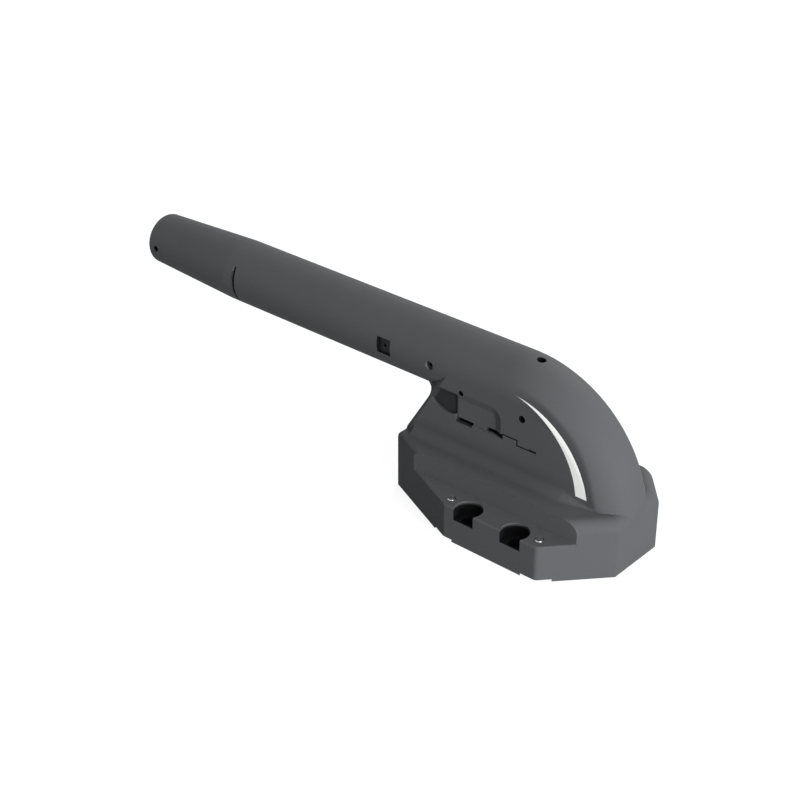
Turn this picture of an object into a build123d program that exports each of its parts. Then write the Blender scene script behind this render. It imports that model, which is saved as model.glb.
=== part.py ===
from build123d import *
from math import acos, cos, degrees, radians, sin, sqrt, tan
import os

os.makedirs("parts", exist_ok=True)

# Airspeed head of a small aircraft: a long round probe on a fin that stands on an octagonal base.
# Frame: +X aft, +Y starboard, +Z up, in millimetres.
# Origin: centre of the four mounting screw holes, in the mounting face.

# Probe tube
tube_radius = 8.0
tube_axis_height = 33.8
nose_ahead = 126.95
nose_radius = 6.65
nose_lip_radius = 0.6
taper_length = 29.95
mouth_radius = 5.0
mouth_flare = 0.7
housing_wall = 2.4

# Elbow and fin
bend_radius = 26.1
fin_slope_degrees = 32.0
fin_corner_chamfer = 0.9
fin_throat_radius = 2.6

# Base
base_ahead = 35.75
front_half_width = 10.85
sponson_ahead = 12.35
sponson_behind = 14.0
sponson_reach = 6.6
sponson_height = 9.35
sponson_edge_radius = 0.4
rear_half_width = 7.88
base_behind = 26.15
base_corner_radius = 1.4
block_height = 14.5
front_shoulder_radius = 1.2
rear_shoulder_radius = 2.8
fin_sink = 2.8

# Hollow root of the fin, with its run-out at both ends
root_radius = 2.4
root_end_radius = 0.2
root_front_ahead = 34.4
root_front_run_out = 1.6
root_rear_run_out = 8.0

# Mounting holes and their counterbores
mount_span = 13.3
mount_edge = 1.95
mount_hole_radius = 1.7
pocket_radius = 3.4
pocket_depth = 3.0

# Parting line between the housings
part_drop = 11.05
part_step = 1.3
part_notch_ahead = 6.6
part_notch_behind = 2.35

# Relief under the tube at the front of the upper housing, with a curved lip, and the clip panel beside it
relief_step_ahead = 20.2
relief_drop = 4.9
relief_depth = 0.9
relief_edge_radius = 0.8
lip_low_ahead = 23.4
lip_dip = 0.4
lip_front_ahead = 27.9
lip_rise = 1.55
panel_drop = 5.7
panel_behind = 9.0
panel_depth = 0.6
panel_slope_width = 1.9
panel_corner_radius = 1.2

# Gaps in the parting line: two clip slots and a hairline that steps down between them and its end
slot_height = 1.0
slot_depth = 2.0
slot_length = 4.6
front_slot_ahead = 20.0
rear_slot_ahead = 11.3
hairline = 0.28
hairline_depth = 0.9
hairline_end = 3.1

# Cavities
cavity_ceiling = 12.0
cavity_inset = 3.5
fin_cavity_ahead = 14.5
keel_cavity_ahead = 26.0
ear_length = 6.0
ear_thickness = 1.6
ear_drop = 1.2
ear_root = 16.0

# Base plate, its seal and its screws
plate_set_in = 0.6
plate_thickness = 1.6
plate_inset = 2.0
plate_clearance = 0.12
seal_thickness = 0.8
seal_inset = 2.3
arm_radius = 2.25
base_screw_span = 25.1
base_screw_edge = 3.0
base_screw_radius = 1.0
base_screw_head_radius = 1.9
spot_face_radius = 4.0
base_screw_socket = 0.65
base_screw_socket_depth = 0.8
screw_tip_chamfer = 0.2
screw_clearance = 0.08

# Probe inner parts
plug_clearance = 0.1
running_clearance = 0.02
total_tube_radius = 1.2
total_tube_bore = 0.8
total_tip_ahead = 117.0
total_tail_ahead = 10.5
static_tube_radius = 0.9
static_tube_bore = 0.55
static_tube_rise = 3.4
static_tube_ahead = 24.0
front_plug_ahead = 92.0
front_plug_length = 8.0
rear_plug_ahead = 35.0
rear_plug_behind = 15.5
ring_section = 0.5
ring_groove_width = 1.3
ring_offset = 3.0
plug_edge_chamfer = 0.3

# Holes in the skin
nose_hole_radius = 0.65
nose_hole_setback = 3.1
vent_ahead = 93.6
vent_width = 0.9
vent_cutter_radius = 5.6
vent_drop_degrees = 5.0
plate_port_ahead = 42.6
plate_port_size = 4.1
plate_port_depth = 0.75
plate_port_thickness = 1.2
plate_port_hole = 0.4
plate_port_passage = 0.8
set_screw_ahead = 28.4
set_screw_radius = 1.15
set_screw_length = 2.5
set_screw_sink = 0.75
set_screw_socket = 0.6
set_screw_socket_depth = 1.2
plug_pin_ahead = 18.8
plug_pin_radius = 0.6
housing_pin_ahead = 1.2
housing_pin_radius = 0.8
pin_drop = 3.8
pin_sink = 1.7
pin_end_chamfer = 0.15
top_vent_ahead = 2.35
top_vent_radius = 1.05

# Hoses
hose_wall = 0.5
hose_wall_static = 0.6
hose_bend_radius = 9.0
hose_bend_ahead = 3.5
hose_overlap = 3.0
barb_top = 18.5

# Circuit board and what it carries
board_length = 40.0
board_width = 20.4
board_side_clearance = 1.05
board_thickness = 1.2
board_middle_ahead = 4.0
board_underside = 7.6
board_corner_radius = 1.5
boss_radius = 2.6
boss_end_distance = 4.0
boss_side_distance = 2.7
insert_radius = 1.5
insert_height = 2.7
board_screw_radius = 0.95
board_screw_head_radius = 1.8
board_screw_head_height = 1.2
board_screw_length = 4.0
sensor_length = 11.0
sensor_side_clearance = 0.7
sensor_height = 4.2
sensor_edge_radius = 0.6
barometer_size = 2.5
barometer_height = 1.0
barometer_ahead = 21.0
processor_size = 7.0
processor_height = 0.9
processor_ahead = 13.0
regulator_length = 3.0
regulator_width = 1.7
regulator_height = 1.1
regulator_ahead = 16.0
capacitor_length = 1.6
capacitor_width = 0.8
capacitor_pitch = 2.2
capacitor_ahead = 19.5
capacitor_count = 3
connector_length = 10.2
connector_width = 4.3
connector_height = 4.1
connector_wall = 0.7
connector_floor = 0.9
contact_pitch = 2.0
contact_count = 4
contact_size = 0.5
contact_length = 2.4
plate_window_length = 11.4
plate_window_width = 5.4
window_corner_radius = 0.8

# One overrun serves every cut, and every search for an edge looks this far round its place
over = 1.0
search = 0.35

# Widths that follow from the circuit board
block_half_width = board_width / 2 + board_side_clearance + cavity_inset
sponson_half_width = block_half_width + sponson_reach
mount_spread = 2 * (sponson_half_width - mount_edge)
base_screw_spread = 2 * (sponson_half_width - base_screw_edge)
boss_span = board_length - 2 * boss_end_distance
boss_spread = board_width - 2 * boss_side_distance
sensor_width = boss_spread - 2 * boss_radius - 2 * sensor_side_clearance

# Heights that follow from the axis of the tube
part_low = tube_axis_height - part_drop
part_high = part_low + part_step
relief_top = tube_axis_height - relief_drop
lip_low = part_high - lip_dip
lip_front_height = part_high + lip_rise
panel_top = tube_axis_height - panel_drop
ear_top = tube_axis_height - ear_drop
pin_height = tube_axis_height - pin_drop

# Other places that follow from the sizes above
bend_height = tube_axis_height - bend_radius
back_radius = bend_radius + tube_radius
bend_x = base_behind - sqrt(back_radius**2 - (block_height - bend_height) ** 2)
bore_radius = tube_radius - housing_wall
front_plug_end = front_plug_ahead - front_plug_length
seal_ceiling = plate_set_in + plate_thickness + seal_thickness
plate_top = plate_set_in + plate_thickness
board_top = board_underside + board_thickness
fin_foot = block_height - fin_sink
fin_back = bend_x + bend_radius
hollow_arc_degrees = degrees(acos((cavity_ceiling - over - bend_height) / bend_radius))
fin_front_at_axis = -base_ahead + (tube_axis_height - block_height) * tan(radians(fin_slope_degrees))

front_groove_ahead = front_plug_ahead - ring_offset
rear_groove_ahead = rear_plug_ahead - ring_offset
ring_line_radius = bore_radius - ring_section - running_clearance
groove_floor_radius = ring_line_radius - ring_section - running_clearance
set_screw_tip = tube_radius - set_screw_sink - set_screw_length
total_barb_x = hose_bend_radius - hose_bend_ahead
static_barb_x = total_barb_x + static_tube_rise
barb_middle_x = (total_barb_x + static_barb_x) / 2


def octagon():
    """Outline of the base, as a list of corners from the front port corner round to the front."""
    port = [
        (-base_ahead, -front_half_width),
        (-sponson_ahead, -sponson_half_width),
        (sponson_behind, -sponson_half_width),
        (base_behind, -rear_half_width),
    ]
    return port + [(x, -y) for x, y in reversed(port)]


# Plan outlines that the base pieces share
with BuildSketch() as foot_plan:
    with BuildLine():
        Polyline(*octagon(), close=True)
    make_face()

with BuildSketch() as block_plan:
    add(foot_plan.sketch)
    Rectangle(2 * base_ahead, 2 * block_half_width, mode=Mode.INTERSECT)

with BuildSketch() as cavity_plan:
    add(block_plan.sketch)
    offset(amount=-cavity_inset, kind=Kind.INTERSECTION, mode=Mode.REPLACE)

with BuildSketch() as plate_recess_plan:
    add(block_plan.sketch)
    offset(amount=-plate_inset, kind=Kind.INTERSECTION, mode=Mode.REPLACE)
    with GridLocations(base_screw_span, base_screw_spread, 2, 2):
        Circle(arm_radius)
    with GridLocations(base_screw_span, 0, 2, 1):
        Rectangle(2 * arm_radius, base_screw_spread)


# Outer form of the base: a wide foot with a narrower block on it, with all but the rear corners rounded
with BuildSketch() as round_foot_plan:
    add(foot_plan.sketch)
    corners = round_foot_plan.vertices().filter_by(lambda v: v.X < base_behind - search)
    fillet(corners, radius=base_corner_radius)

with BuildPart() as base_form:
    with BuildSketch():
        add(round_foot_plan.sketch)
    extrude(amount=sponson_height)
    fillet(base_form.faces().sort_by(Axis.Z)[-1].edges(), radius=sponson_edge_radius)
    with BuildSketch():
        add(round_foot_plan.sketch)
        Rectangle(2 * base_ahead, 2 * block_half_width, mode=Mode.INTERSECT)
    extrude(amount=block_height)
    for end, shoulder_radius in ((-1, front_shoulder_radius), (1, rear_shoulder_radius)):
        crown = base_form.faces().sort_by(Axis.Z)[-1]
        shoulders = crown.edges().filter_by(lambda e: abs(abs(e.center().Y) - block_half_width) > search)
        fillet(shoulders.filter_by(lambda e: end * e.center().X > 0), radius=shoulder_radius)


# Outer form of the fin, with the tube and the elbow that turns into its back
with BuildPart() as fin_form:
    with BuildSketch(Plane.XZ):
        with BuildLine():
            Polyline(
                (bend_x, tube_axis_height),
                (fin_front_at_axis, tube_axis_height),
                (-base_ahead, block_height),
                (-base_ahead, fin_foot),
                (fin_back, fin_foot),
            )
            RadiusArc(
                (fin_back, fin_foot),
                (bend_x, tube_axis_height),
                -bend_radius,
            )
        make_face()
    extrude(amount=tube_radius, both=True)
    leading = fin_form.edges().filter_by(
        lambda e: e.center().X < fin_front_at_axis and abs(e.center().Y) > tube_radius / 2
    )
    chamfer(leading.filter_by(lambda e: e.center().Z > block_height), length=fin_corner_chamfer)
    with BuildSketch(Plane.YZ.offset(bend_x)):
        with Locations((0, tube_axis_height)):
            Circle(tube_radius)
    revolve(axis=Axis((bend_x, 0, bend_height), (0, 1, 0)), revolution_arc=90)
    with BuildSketch(Plane.XZ):
        with BuildLine():
            Polyline(
                (-nose_ahead, tube_axis_height),
                (-nose_ahead, tube_axis_height + nose_radius),
                (-nose_ahead + taper_length, tube_axis_height + tube_radius),
                (bend_x, tube_axis_height + tube_radius),
                (bend_x, tube_axis_height),
                close=True,
            )
        make_face()
    revolve(axis=Axis((0, 0, tube_axis_height), (1, 0, 0)))
    # The throat, where the leading edge meets the underside of the tube
    under_tube = fin_form.edges().filter_by(GeomType.ELLIPSE).sort_by(lambda e: abs(e.center().Y))
    fillet(under_tube[0], radius=fin_throat_radius)


def root_section(x, radius):
    """Section of the hollow root between the port side of the fin and the top of the block."""
    with BuildSketch(Plane.YZ.offset(x)) as section:
        with Locations((-tube_radius - radius, block_height + radius)):
            Rectangle(radius + over, radius + over, align=(Align.MIN, Align.MAX))
            Circle(radius, mode=Mode.SUBTRACT)
    return section.sketch


# Hollow root along the port side of the fin, running out to almost nothing at both ends
with BuildPart() as port_root:
    add(root_section(-root_front_ahead, root_end_radius))
    add(root_section(-root_front_ahead + root_front_run_out, root_radius))
    add(root_section(fin_back - root_rear_run_out, root_radius))
    add(root_section(fin_back, root_end_radius))
    loft(ruled=True)


# The whole outer form: base, fin and tube in one, flush at the back
with BuildPart() as outer_form:
    add(base_form.part)
    add(fin_form.part)
    add(port_root.part)
    add(mirror(port_root.part, about=Plane.XZ))
    with BuildSketch(Plane.YZ.offset(base_behind)):
        Rectangle(4 * tube_radius, 2 * fin_foot, align=(Align.CENTER, Align.MIN))
    extrude(amount=tube_radius, mode=Mode.SUBTRACT)


# The hollow: a tray under the base, a slot up the fin, the elbow's bore and the probe bore
with BuildPart() as hollow:
    with BuildSketch():
        add(cavity_plan.sketch)
    extrude(amount=cavity_ceiling)
    with BuildSketch(Plane.XZ):
        with BuildLine():
            Polyline(
                (bend_x, tube_axis_height),
                (-fin_cavity_ahead, tube_axis_height),
                (-fin_cavity_ahead, part_low),
                (-keel_cavity_ahead, part_low),
                (-keel_cavity_ahead, cavity_ceiling - over),
                (fin_back, cavity_ceiling - over),
            )
            RadiusArc(
                (fin_back, cavity_ceiling - over),
                (bend_x, tube_axis_height),
                -bend_radius,
            )
        make_face()
    extrude(amount=bore_radius, both=True)
    with BuildSketch(Plane.YZ.offset(bend_x)):
        with Locations((0, tube_axis_height)):
            Circle(bore_radius)
    revolve(axis=Axis((bend_x, 0, bend_height), (0, 1, 0)), revolution_arc=hollow_arc_degrees)
    with BuildSketch(Plane.YZ.offset(-front_plug_ahead)):
        with Locations((0, tube_axis_height)):
            Circle(bore_radius)
    extrude(amount=front_plug_ahead + bend_x)


# Everything below the parting line
with BuildPart() as lower_region:
    with BuildSketch(Plane.XZ):
        with BuildLine():
            Polyline(
                (-nose_ahead, -over),
                (-nose_ahead, part_high),
                (-relief_step_ahead, part_high),
                (-relief_step_ahead, part_low),
                (-part_notch_ahead, part_low),
                (-part_notch_ahead, part_high),
                (-part_notch_behind, part_high),
                (-part_notch_behind, part_low),
                (base_behind + tube_radius, part_low),
                (base_behind + tube_radius, -over),
                close=True,
            )
        make_face()
    extrude(amount=sponson_half_width + over, both=True)
    # On each side of the relief the wall ends in a hollow curve that climbs the leading edge
    for hand in (-1, 1):
        side = Plane.XZ.offset(hand * (tube_radius - relief_depth))
        with BuildSketch(side):
            with Locations((-relief_step_ahead, fin_foot)):
                Rectangle(base_ahead, relief_top - fin_foot, align=(Align.MAX, Align.MIN))
        extrude(amount=hand * (relief_depth + over), mode=Mode.SUBTRACT)
        with BuildSketch(side):
            with BuildLine():
                Polyline(
                    (-lip_front_ahead, lip_front_height),
                    (-base_ahead - over, lip_front_height),
                    (-base_ahead - over, fin_foot),
                    (-relief_step_ahead, fin_foot),
                    (-relief_step_ahead, part_high),
                )
                ThreePointArc(
                    (-relief_step_ahead, part_high),
                    (-lip_low_ahead, lip_low),
                    (-lip_front_ahead, lip_front_height),
                )
            make_face()
        extrude(amount=hand * (relief_depth + over))


# The gaps that show in the parting line, on both sides of the fin
with BuildPart() as seam_gaps:
    for side in (Plane.XZ.offset(tube_radius), Plane.XZ.offset(-tube_radius)):
        with BuildSketch(side):
            with Locations((-front_slot_ahead, part_low)):
                Rectangle(slot_length, slot_height, align=(Align.MIN, Align.CENTER))
            with Locations((-rear_slot_ahead, (part_low + part_high) / 2)):
                Rectangle(slot_length, slot_height, align=(Align.MIN, Align.CENTER))
        extrude(amount=slot_depth, both=True)
        with BuildSketch(side):
            with Locations((-part_notch_ahead, part_high)):
                Rectangle(part_notch_ahead - part_notch_behind, hairline, align=(Align.MIN, Align.CENTER))
            with Locations((-part_notch_ahead, part_high)):
                Rectangle(hairline, part_high - part_low, align=(Align.CENTER, Align.MAX))
            with Locations((-part_notch_behind, part_high)):
                Rectangle(hairline, part_high - part_low, align=(Align.CENTER, Align.MAX))
            with Locations((-part_notch_behind, part_low)):
                Rectangle(part_notch_behind + hairline_end, hairline, align=(Align.MIN, Align.CENTER))
        extrude(amount=hairline_depth, both=True)


# Lower housing: base, sponsons and the foot of the fin
with BuildPart() as lower_housing:
    add(outer_form.part)
    add(lower_region.part, mode=Mode.INTERSECT)
    add(hollow.part, mode=Mode.SUBTRACT)
    with BuildSketch():
        add(plate_recess_plan.sketch)
    extrude(amount=plate_top, mode=Mode.SUBTRACT)
    with BuildSketch():
        add(block_plan.sketch)
        offset(amount=-plate_inset, kind=Kind.INTERSECTION, mode=Mode.REPLACE)
    extrude(amount=seal_ceiling, mode=Mode.SUBTRACT)
    # Counterbores and holes for the mounting screws
    with BuildSketch(Plane.XY.offset(sponson_height - pocket_depth)):
        with GridLocations(mount_span, mount_spread, 2, 2):
            Circle(pocket_radius)
    extrude(amount=pocket_depth + over, mode=Mode.SUBTRACT)
    with BuildSketch(Plane.XY.offset(-over)):
        with GridLocations(mount_span, mount_spread, 2, 2):
            Circle(mount_hole_radius)
    extrude(amount=sponson_height, mode=Mode.SUBTRACT)
    # Holes of the base screws, and the shallow spot faces round them
    with BuildSketch(Plane.XY.offset(-over)):
        with GridLocations(base_screw_span, base_screw_spread, 2, 2):
            Circle(spot_face_radius)
    extrude(amount=over + plate_set_in, mode=Mode.SUBTRACT)
    with BuildSketch(Plane.XY.offset(-over)):
        with GridLocations(base_screw_span, base_screw_spread, 2, 2):
            Circle(base_screw_radius + screw_clearance)
    extrude(amount=sponson_height + 2 * over, mode=Mode.SUBTRACT)
    # Ears that rise inside the fin and take the housing pin
    for hand in (-1, 1):
        side = Plane.XZ.offset(hand * (bore_radius - plug_clearance))
        with BuildSketch(side):
            with Locations((-housing_pin_ahead, ear_top)):
                Rectangle(ear_length, ear_top - ear_root, align=(Align.CENTER, Align.MAX))
        extrude(amount=-hand * ear_thickness)
        with BuildSketch(side):
            with Locations((-housing_pin_ahead, part_low)):
                Rectangle(ear_length, part_low - ear_root, align=(Align.CENTER, Align.MAX))
        extrude(amount=hand * ear_thickness)
    with BuildSketch(Plane.XZ):
        with Locations((-housing_pin_ahead, pin_height)):
            Circle(housing_pin_radius + running_clearance)
    extrude(amount=tube_radius, both=True, mode=Mode.SUBTRACT)
    # Bosses for the circuit board, bored for the threaded inserts
    with BuildSketch(Plane.XY.offset(board_top)):
        with Locations((-board_middle_ahead, 0)):
            with GridLocations(boss_span, boss_spread, 2, 2):
                Circle(boss_radius)
    extrude(amount=cavity_ceiling - board_top)
    with BuildSketch(Plane.XY.offset(board_top)):
        with Locations((-board_middle_ahead, 0)):
            with GridLocations(boss_span, boss_spread, 2, 2):
                Circle(insert_radius)
    extrude(amount=insert_height, mode=Mode.SUBTRACT)
    add(seam_gaps.part, mode=Mode.SUBTRACT)

lower_housing.part.label = "lower_housing"
export_step(lower_housing.part, "parts/lower_housing.step")


# Upper housing: probe tube, elbow and the top of the fin
with BuildPart() as upper_housing:
    add(outer_form.part)
    add(lower_region.part, mode=Mode.SUBTRACT)
    add(hollow.part, mode=Mode.SUBTRACT)
    # Open mouth with a flared lip
    with BuildSketch(Plane.YZ.offset(-nose_ahead)):
        with Locations((0, tube_axis_height)):
            Circle(mouth_radius)
    extrude(amount=nose_ahead - front_plug_ahead, mode=Mode.SUBTRACT)
    mouth_edges = upper_housing.faces().sort_by(Axis.X)[0].edges().sort_by(SortBy.LENGTH)
    fillet(mouth_edges[-1], radius=nose_lip_radius)
    inner_edge = upper_housing.faces().filter_by(Axis.X).sort_by(Axis.X)[0].inner_wires()[0].edges()
    chamfer(inner_edge, length=mouth_flare)
    # Relief under the tube on both sides, with a soft brow
    for hand in (-1, 1):
        with BuildSketch(Plane.XZ.offset(hand * (tube_radius - relief_depth))):
            with Locations((-relief_step_ahead, fin_foot)):
                Rectangle(base_ahead, relief_top - fin_foot, align=(Align.MAX, Align.MIN))
        extrude(amount=hand * (relief_depth + over), mode=Mode.SUBTRACT)
    level_edges = upper_housing.edges().filter_by(Axis.X)
    brow = level_edges.filter_by(lambda e: abs(e.center().Z - relief_top) < search)
    fillet(brow.filter_by(lambda e: abs(e.center().Y) > tube_radius - search), radius=relief_edge_radius)
    # Clip panel: thinned on both sides, with a soft slope round its top and back
    for hand in (-1, 1):
        outer_plane = Plane.XZ.offset(hand * tube_radius)
        inner_plane = Plane.XZ.offset(hand * (tube_radius - panel_depth))
        panel_front = -relief_step_ahead - panel_slope_width
        panel_bottom = part_low - panel_slope_width
        with BuildSketch(outer_plane) as wide:
            with Locations((panel_front, panel_bottom)):
                RectangleRounded(
                    relief_step_ahead + panel_slope_width - panel_behind + panel_slope_width,
                    panel_top + panel_slope_width - panel_bottom,
                    panel_corner_radius + panel_slope_width,
                    align=(Align.MIN, Align.MIN),
                )
        with BuildSketch(inner_plane) as narrow:
            with Locations((panel_front, panel_bottom)):
                RectangleRounded(
                    relief_step_ahead + panel_slope_width - panel_behind,
                    panel_top - panel_bottom,
                    panel_corner_radius,
                    align=(Align.MIN, Align.MIN),
                )
        loft(mode=Mode.SUBTRACT)
    # Vent slots low on each side of the mouth chamber, cut by a disc
    for hand in (-1, 1):
        with BuildSketch(Plane.YZ.offset(-vent_ahead)):
            drop = radians(vent_drop_degrees)
            reach = mouth_radius + vent_cutter_radius / 2 + housing_wall / 2
            with Locations((hand * reach * cos(drop), tube_axis_height - reach * sin(drop))):
                Circle(vent_cutter_radius)
        extrude(amount=vent_width / 2, both=True, mode=Mode.SUBTRACT)
    # Holes in the skin
    with BuildSketch(Plane.XZ):
        with Locations((-nose_ahead + nose_hole_setback, tube_axis_height)):
            Circle(nose_hole_radius)
        with Locations((-plate_port_ahead, tube_axis_height)):
            Circle(plate_port_passage)
        with Locations((-set_screw_ahead, tube_axis_height)):
            Circle(set_screw_radius)
        with Locations((-plug_pin_ahead, pin_height)):
            Circle(plug_pin_radius)
        with Locations((-housing_pin_ahead, pin_height)):
            Circle(housing_pin_radius)
    extrude(amount=tube_radius + over, both=True, mode=Mode.SUBTRACT)
    for side in (Plane.XZ.offset(tube_radius), Plane.XZ.offset(-tube_radius)):
        with BuildSketch(side):
            with Locations((-plate_port_ahead, tube_axis_height)):
                Rectangle(plate_port_size, plate_port_size)
        extrude(amount=plate_port_depth + plate_port_thickness, both=True, mode=Mode.SUBTRACT)
    with BuildSketch(Plane.XY.offset(tube_axis_height)):
        with Locations((-top_vent_ahead, 0)):
            Circle(top_vent_radius)
    extrude(amount=tube_radius + over, mode=Mode.SUBTRACT)
    add(seam_gaps.part, mode=Mode.SUBTRACT)

upper_housing.part.label = "upper_housing"
export_step(upper_housing.part, "parts/upper_housing.step")


# Base plate, let into the underside, with an arm to each base screw and a window for the plug
with BuildPart() as base_plate:
    with BuildSketch(Plane.XY.offset(plate_set_in)):
        add(block_plan.sketch)
        offset(amount=-plate_inset - plate_clearance, kind=Kind.INTERSECTION, mode=Mode.REPLACE)
        with GridLocations(base_screw_span, base_screw_spread, 2, 2):
            Circle(arm_radius - plate_clearance)
        with GridLocations(base_screw_span, 0, 2, 1):
            Rectangle(2 * (arm_radius - plate_clearance), base_screw_spread)
        with Locations((-board_middle_ahead, 0)):
            RectangleRounded(
                plate_window_length, plate_window_width, window_corner_radius, mode=Mode.SUBTRACT
            )
    extrude(amount=plate_thickness)
    with Locations(Plane(origin=(0, 0, plate_set_in), z_dir=(0, 0, -1))):
        with GridLocations(base_screw_span, base_screw_spread, 2, 2):
            CounterSinkHole(
                radius=base_screw_radius + screw_clearance,
                counter_sink_radius=base_screw_head_radius + screw_clearance,
            )

base_plate.part.label = "base_plate"
export_step(base_plate.part, "parts/base_plate.step")


# Seal between the plate and the ceiling of its recess
with BuildPart() as base_seal:
    with BuildSketch(Plane.XY.offset(plate_top)):
        add(block_plan.sketch)
        offset(amount=-seal_inset, kind=Kind.INTERSECTION, mode=Mode.REPLACE)
        add(cavity_plan.sketch, mode=Mode.SUBTRACT)
    extrude(amount=seal_thickness)

base_seal.part.label = "base_seal"
export_step(base_seal.part, "parts/base_seal.step")


# Base screws: countersunk from below, their tips level with the top of the sponsons
with BuildPart() as base_screw:
    with BuildSketch(Plane.XZ):
        with BuildLine():
            Polyline(
                (0, plate_set_in),
                (base_screw_head_radius, plate_set_in),
                (base_screw_radius, plate_set_in + base_screw_head_radius - base_screw_radius),
                (base_screw_radius, sponson_height - screw_tip_chamfer),
                (base_screw_radius - screw_tip_chamfer, sponson_height),
                (0, sponson_height),
                close=True,
            )
        make_face()
    revolve(axis=Axis.Z)
    with BuildSketch(Plane.XY.offset(plate_set_in)):
        RegularPolygon(base_screw_socket, 6)
    extrude(amount=base_screw_socket_depth, mode=Mode.SUBTRACT)

with BuildPart() as base_screws:
    with GridLocations(base_screw_span, base_screw_spread, 2, 2):
        add(base_screw.part)

base_screws.part.label = "base_screws"
export_step(base_screws.part, "parts/base_screws.step")


def plug(front_ahead, back_ahead, groove_ahead):
    """Round plug that fills the probe bore between two stations and carries a sealing ring."""
    with BuildPart() as blank:
        with BuildSketch(Plane.YZ.offset(-front_ahead)):
            with Locations((0, tube_axis_height)):
                Circle(bore_radius - plug_clearance)
        extrude(amount=front_ahead - back_ahead)
        chamfer(blank.edges().filter_by(GeomType.CIRCLE), length=plug_edge_chamfer)
        with BuildSketch(Plane.YZ.offset(-groove_ahead - ring_groove_width / 2)):
            with Locations((0, tube_axis_height)):
                Circle(bore_radius)
                Circle(groove_floor_radius, mode=Mode.SUBTRACT)
        extrude(amount=ring_groove_width, mode=Mode.SUBTRACT)
        with BuildSketch(Plane.YZ.offset(-front_ahead - over)):
            with Locations((0, tube_axis_height)):
                Circle(total_tube_radius + running_clearance)
        extrude(amount=front_ahead - back_ahead + 2 * over, mode=Mode.SUBTRACT)
    return blank.part


def sealing_ring(groove_ahead):
    """Ring of round section that closes the gap between a plug and the bore."""
    with BuildPart() as ring:
        with BuildSketch(Plane.XZ):
            with Locations((-groove_ahead, tube_axis_height + ring_line_radius)):
                Circle(ring_section)
        revolve(axis=Axis((0, 0, tube_axis_height), (1, 0, 0)))
    return ring.part


# Front plug: centres the pitot tube and closes the static chamber
with BuildPart() as front_plug:
    add(plug(front_plug_ahead, front_plug_end, front_groove_ahead))

front_plug.part.label = "front_plug"
export_step(front_plug.part, "parts/front_plug.step")

front_plug_ring = sealing_ring(front_groove_ahead)
front_plug_ring.label = "front_plug_ring"
export_step(front_plug_ring, "parts/front_plug_ring.step")

# Rear plug: holds both tubes, and is locked by the set screws and the plug pin
with BuildPart() as rear_plug:
    add(plug(rear_plug_ahead, rear_plug_behind, rear_groove_ahead))
    with BuildSketch(Plane.YZ.offset(-rear_plug_ahead - over)):
        with Locations((0, tube_axis_height + static_tube_rise)):
            Circle(static_tube_bore)
    extrude(amount=rear_plug_ahead, mode=Mode.SUBTRACT)
    with BuildSketch(Plane.YZ.offset(-static_tube_ahead)):
        with Locations((0, tube_axis_height + static_tube_rise)):
            Circle(static_tube_radius + running_clearance)
    extrude(amount=static_tube_ahead, mode=Mode.SUBTRACT)
    for hand in (-1, 1):
        with BuildSketch(Plane.XZ.offset(hand * (set_screw_tip - running_clearance))):
            with Locations((-set_screw_ahead, tube_axis_height)):
                Circle(set_screw_radius + running_clearance)
        extrude(amount=hand * tube_radius, mode=Mode.SUBTRACT)
    with BuildSketch(Plane.XZ):
        with Locations((-plug_pin_ahead, pin_height)):
            Circle(plug_pin_radius + running_clearance)
    extrude(amount=tube_radius, both=True, mode=Mode.SUBTRACT)

rear_plug.part.label = "rear_plug"
export_step(rear_plug.part, "parts/rear_plug.step")

rear_plug_ring = sealing_ring(rear_groove_ahead)
rear_plug_ring.label = "rear_plug_ring"
export_step(rear_plug_ring, "parts/rear_plug_ring.step")


def straight_pipe(front_ahead, back_ahead, height, outer_radius, inner_radius):
    """Metal pipe along X with softened ends."""
    with BuildPart() as pipe:
        with BuildSketch(Plane.YZ.offset(-front_ahead)):
            with Locations((0, height)):
                Circle(outer_radius)
        extrude(amount=front_ahead - back_ahead)
        chamfer(pipe.edges().filter_by(GeomType.CIRCLE), length=(outer_radius - inner_radius) / 2)
        with BuildSketch(Plane.YZ.offset(-front_ahead)):
            with Locations((0, height)):
                Circle(inner_radius)
        extrude(amount=front_ahead - back_ahead, mode=Mode.SUBTRACT)
    return pipe.part


total_pressure_tube = straight_pipe(
    total_tip_ahead, total_tail_ahead, tube_axis_height, total_tube_radius, total_tube_bore
)
total_pressure_tube.label = "total_pressure_tube"
export_step(total_pressure_tube, "parts/total_pressure_tube.step")

static_pressure_tube = straight_pipe(
    static_tube_ahead,
    total_tail_ahead,
    tube_axis_height + static_tube_rise,
    static_tube_radius,
    static_tube_bore,
)
static_pressure_tube.label = "static_pressure_tube"
export_step(static_pressure_tube, "parts/static_pressure_tube.step")


def hose(height, bend, inner_radius, wall):
    """Hose from the end of a tube, round a quarter bend and down over a barb."""
    start = -total_tail_ahead - hose_overlap
    drop_x = bend - hose_bend_ahead
    with BuildSketch() as section:
        Circle(inner_radius + wall)
        Circle(inner_radius, mode=Mode.SUBTRACT)
    with BuildPart() as rubber:
        with BuildSketch(Plane(origin=(start, 0, height), z_dir=(1, 0, 0))):
            add(section.sketch)
        extrude(amount=-hose_bend_ahead - start)
        with BuildSketch(Plane(origin=(-hose_bend_ahead, 0, height), z_dir=(1, 0, 0))):
            add(section.sketch)
        revolve(axis=Axis((-hose_bend_ahead, 0, height - bend), (0, 1, 0)), revolution_arc=90)
        with BuildSketch(Plane.XY.offset(barb_top - hose_overlap)):
            with Locations((drop_x, 0)):
                add(section.sketch)
        extrude(amount=height - bend - barb_top + hose_overlap)
    return rubber.part


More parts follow.
